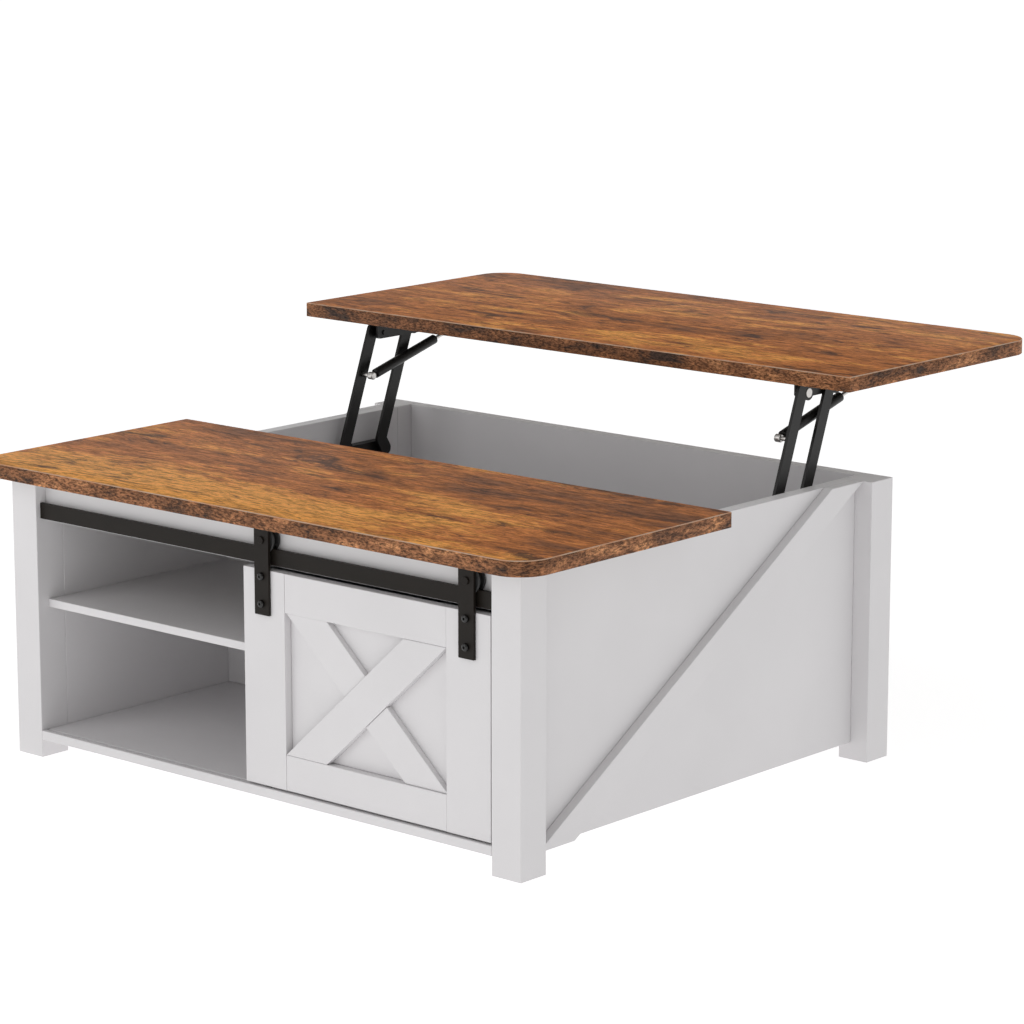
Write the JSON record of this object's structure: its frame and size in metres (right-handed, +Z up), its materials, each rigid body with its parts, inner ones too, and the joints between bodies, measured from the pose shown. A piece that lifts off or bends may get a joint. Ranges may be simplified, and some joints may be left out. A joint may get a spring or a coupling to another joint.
{
  "type": "lift top coffee table",
  "caption": "Square coffee table with a rustic wood top whose rear half lifts up and back on side arms, over a white cabinet with a sliding cross-braced door and shelves.",
  "frame": {"origin": "floor level, under the centre of the bounding box with the lift top raised", "axes": "+Z up, -Y towards the front with the sliding door, +X to the right seen from the front"},
  "size_m": [1.06, 1.164, 0.591],
  "materials": {
    "white_paint": "satin white coating on board",
    "rustic_wood": "matt rustic wood grain laminate",
    "rail_steel": "dark grey powder coat",
    "black_steel": "black satin paint",
    "silver_steel": "bright rod",
    "roller_nylon": "black"
  },
  "bodies": {
    "cabinet": {"leg_front_left": "white_paint", "leg_front_right": "white_paint", "leg_rear_left": "white_paint", "leg_rear_right": "white_paint", "side_panel_left": "white_paint", "side_panel_right": "white_paint", "side_brace_left": "white_paint", "side_brace_right": "white_paint", "back_panel": "white_paint", "bottom_board": "white_paint", "partition_board": "white_paint", "fascia_board": "white_paint", "centre_divider": "white_paint", "shelf_left": "white_paint", "shelf_right": "white_paint", "fixed_top": "rustic_wood", "door_rail": "rail_steel", "rail_spacer_1": "rail_steel", "rail_spacer_2": "rail_steel", "rail_spacer_3": "rail_steel", "rail_bolt_1": "rail_steel", "rail_bolt_2": "rail_steel", "rail_bolt_3": "rail_steel", "base_bracket_left": "black_steel", "base_bracket_right": "black_steel"},
    "door": {"door_stile_left": "white_paint", "door_stile_right": "white_paint", "door_rail_top": "white_paint", "door_rail_bottom": "white_paint", "door_panel": "white_paint", "cross_board": "white_paint", "cross_board_upper": "white_paint", "cross_board_lower": "white_paint", "guide_pin_left": "roller_nylon", "guide_pin_right": "roller_nylon", "door_strap_left": "rail_steel", "door_strap_right": "rail_steel", "strap_bolt_left_low": "black_steel", "strap_bolt_left_high": "black_steel", "strap_bolt_right_low": "black_steel", "strap_bolt_right_high": "black_steel", "roller_axle_left": "black_steel", "roller_axle_right": "black_steel"},
    "roller_left": {"roller_left": "roller_nylon"},
    "roller_right": {"roller_right": "roller_nylon"},
    "front_arms": {"front_arm_left": "black_steel", "front_arm_right": "black_steel"},
    "rear_arms": {"rear_arm_left": "black_steel", "rear_arm_right": "black_steel"},
    "lift_top": {"lift_top": "rustic_wood", "top_bracket_left": "black_steel", "top_bracket_right": "black_steel"},
    "strut_cylinders": {"strut_cylinder_left": "black_steel", "strut_cylinder_right": "black_steel"},
    "strut_rods": {"strut_rod_left": "silver_steel", "strut_rod_right": "silver_steel"}
  },
  "joints": [
    {"name": "door_slide", "type": "slide", "parent": "cabinet", "child": "door", "axis": [-1, 0, 0], "range_m": [0, 0.418]},
    {"name": "roller_left_spin", "type": "hinge", "parent": "door", "child": "roller_left", "pos_m": [0.021, -0.5325, 0.3933], "axis": [0, -1, 0], "range_deg": [0, 2000]},
    {"name": "roller_right_spin", "type": "hinge", "parent": "door", "child": "roller_right", "pos_m": [0.397, -0.5325, 0.3933], "axis": [0, -1, 0], "range_deg": [0, 2000]},
    {"name": "front_arms_hinge", "type": "hinge", "parent": "cabinet", "child": "front_arms", "pos_m": [0, 0.0949, 0.36331], "axis": [1, 0, 0], "range_deg": [0, 99.5]},
    {"name": "rear_arms_hinge", "type": "hinge", "parent": "cabinet", "child": "rear_arms", "pos_m": [0, 0.1704, 0.36331], "axis": [1, 0, 0], "range_deg": [0, 99.5]},
    {"name": "lift_top_hinge", "type": "hinge", "parent": "front_arms", "child": "lift_top", "pos_m": [0, 0.16344, 0.55], "axis": [1, 0, 0], "range_deg": [-99.5, 0]},
    {"name": "strut_hinge", "type": "hinge", "parent": "front_arms", "child": "strut_cylinders", "pos_m": [0, 0.125, 0.4868], "axis": [1, 0, 0], "range_deg": [-102, 0]},
    {"name": "strut_slide", "type": "slide", "parent": "strut_cylinders", "child": "strut_rods", "axis": [0, 0.9633, 0.2686], "range_m": [-0.1135, 0]}
  ],
  "couplings": [
    {"joint": "roller_left_spin", "follows": "door_slide", "rad_per_m": 83.333},
    {"joint": "roller_right_spin", "follows": "door_slide", "rad_per_m": 83.333},
    {"joint": "rear_arms_hinge", "follows": "front_arms_hinge", "ratio": 1},
    {"joint": "lift_top_hinge", "follows": "front_arms_hinge", "ratio": -1},
    {"joint": "strut_hinge", "follows": "front_arms_hinge", "ratio": -1.0198},
    {"joint": "strut_slide", "follows": "front_arms_hinge", "m_per_rad": -0.064875}
  ]
}
